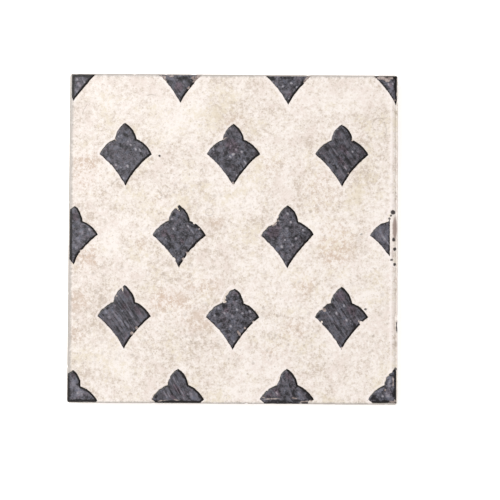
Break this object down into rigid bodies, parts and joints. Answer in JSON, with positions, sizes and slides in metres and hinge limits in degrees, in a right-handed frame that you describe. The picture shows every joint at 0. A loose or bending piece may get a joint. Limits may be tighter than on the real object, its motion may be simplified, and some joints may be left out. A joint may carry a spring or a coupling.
{
  "type": "decorative tile",
  "caption": "Square glazed clay wall or floor tile with raised dark enamel motifs in a half-drop lattice on a cream face, and a flat bare back for bedding.",
  "frame": {"origin": "middle of the flat back face, at the bottom of the box around the tile", "axes": "+Z leaves the glazed face, +Y is the way the motifs' petals point and the top of the picture, +X is the picture's right, where the top edge is rubbed down wider"},
  "size_m": [0.2, 0.2, 0.0144],
  "materials": {
    "cream_glaze": "satin",
    "charcoal_enamel": "satin",
    "fired_clay": "matte"
  },
  "bodies": {
    "root": {"tile": "cream_glaze"}
  },
  "joints": []
}
